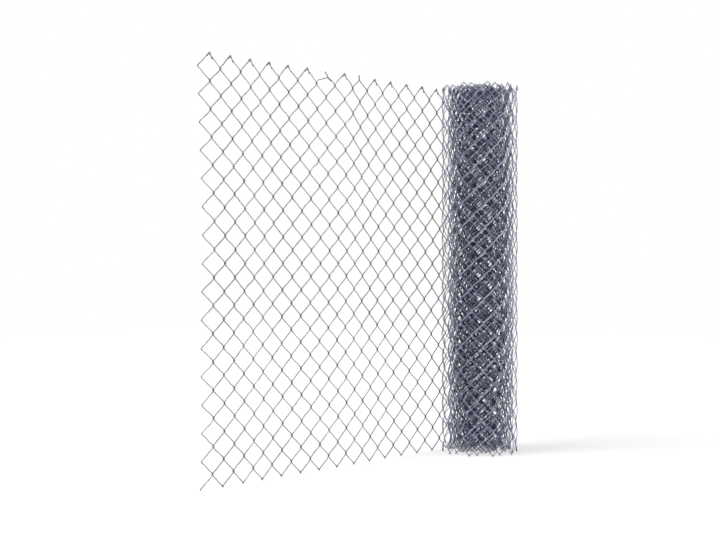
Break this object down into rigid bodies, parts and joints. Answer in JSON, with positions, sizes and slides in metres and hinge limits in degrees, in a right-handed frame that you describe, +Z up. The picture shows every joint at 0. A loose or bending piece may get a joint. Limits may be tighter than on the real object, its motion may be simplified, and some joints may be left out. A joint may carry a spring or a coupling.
{
  "type": "chain link fence roll",
  "caption": "Roll of galvanised chain link fence fabric stood on end and partly unrolled: woven wire pickets, knuckled along the top edge and barbed along the bottom.",
  "frame": {"origin": "middle of the footprint, on the floor that the bottom edge stands on", "axes": "+X along the loose sheet from its cut edge to the roll; +Z up, along the roll's axis; the roll lies on the -Y side of the sheet"},
  "size_m": [1.2564, 0.2932, 1.221],
  "materials": {
    "galvanised_wire": "hot dipped zinc, dull grey"
  },
  "bodies": {
    "root": {"inner_turn_02": "galvanised_wire", "inner_turn_03": "galvanised_wire", "inner_turn_04": "galvanised_wire", "inner_turn_05": "galvanised_wire", "inner_turn_06": "galvanised_wire", "inner_turn_07": "galvanised_wire", "inner_turn_08": "galvanised_wire", "inner_turn_09": "galvanised_wire", "inner_turn_10": "galvanised_wire", "inner_turn_11": "galvanised_wire", "inner_turn_12": "galvanised_wire", "inner_turn_13": "galvanised_wire", "inner_turn_14": "galvanised_wire", "outer_turn_a": "galvanised_wire", "outer_turn_b": "galvanised_wire", "outer_turn_c": "galvanised_wire", "outer_turn_d": "galvanised_wire", "picket_01": "galvanised_wire", "picket_02": "galvanised_wire", "picket_03": "galvanised_wire", "picket_04": "galvanised_wire", "picket_05": "galvanised_wire", "picket_06": "galvanised_wire", "picket_07": "galvanised_wire", "picket_08": "galvanised_wire", "picket_09": "galvanised_wire", "picket_10": "galvanised_wire", "picket_11": "galvanised_wire", "picket_12": "galvanised_wire", "picket_13": "galvanised_wire", "picket_14": "galvanised_wire", "picket_15": "galvanised_wire", "picket_16": "galvanised_wire", "picket_17": "galvanised_wire", "picket_18": "galvanised_wire", "picket_19": "galvanised_wire", "picket_20": "galvanised_wire", "picket_21": "galvanised_wire", "picket_22": "galvanised_wire", "picket_23": "galvanised_wire", "picket_24": "galvanised_wire", "picket_25": "galvanised_wire", "picket_26": "galvanised_wire", "picket_27": "galvanised_wire", "picket_28": "galvanised_wire"}
  },
  "joints": []
}
